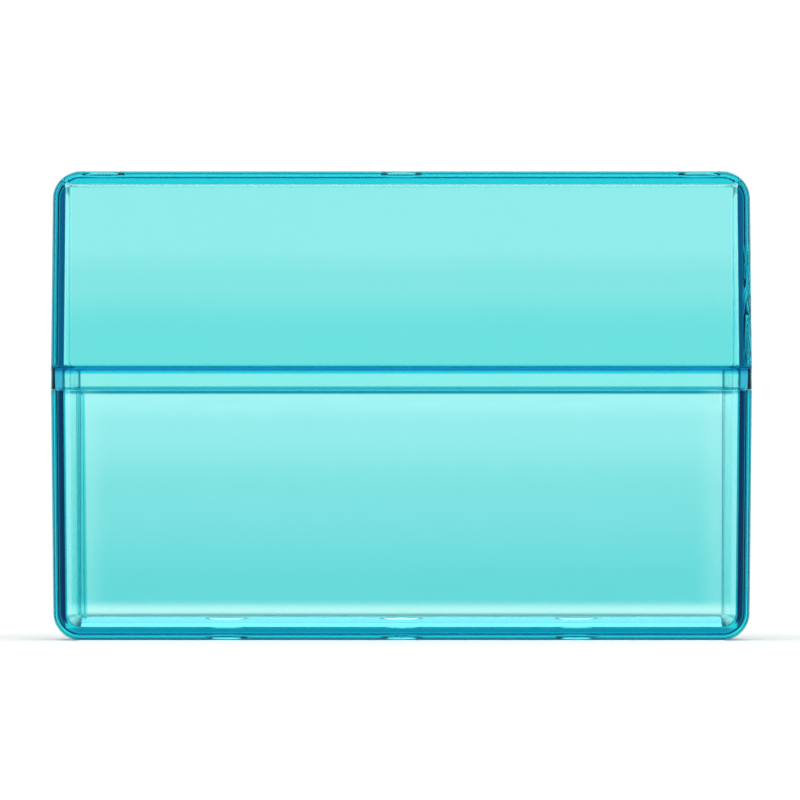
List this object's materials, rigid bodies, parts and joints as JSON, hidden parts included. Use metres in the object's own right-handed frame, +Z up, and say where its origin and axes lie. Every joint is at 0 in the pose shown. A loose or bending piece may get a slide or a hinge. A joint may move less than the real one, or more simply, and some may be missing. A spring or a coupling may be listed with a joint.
{
  "type": "card deck box",
  "caption": "Slim clear plastic box for a deck of playing cards, with a lift-off lid that fits over a lip on the base.",
  "frame": {"origin": "centre of the base's underside, on the surface the box stands on", "axes": "+Z up, the way the lid lifts off; +X along the box's width; +Y from front to back through its depth"},
  "size_m": [0.096, 0.021, 0.0642],
  "materials": {
    "base_plastic": "transparent teal, polished",
    "lid_plastic": "transparent teal, polished"
  },
  "bodies": {
    "base": {"base_shell": "base_plastic"},
    "lid": {"lid_shell": "lid_plastic"}
  },
  "joints": [
    {"name": "lid_lift", "type": "slide", "parent": "base", "child": "lid", "axis": [0, 0, 1], "range_m": [0, 0.06]}
  ]
}
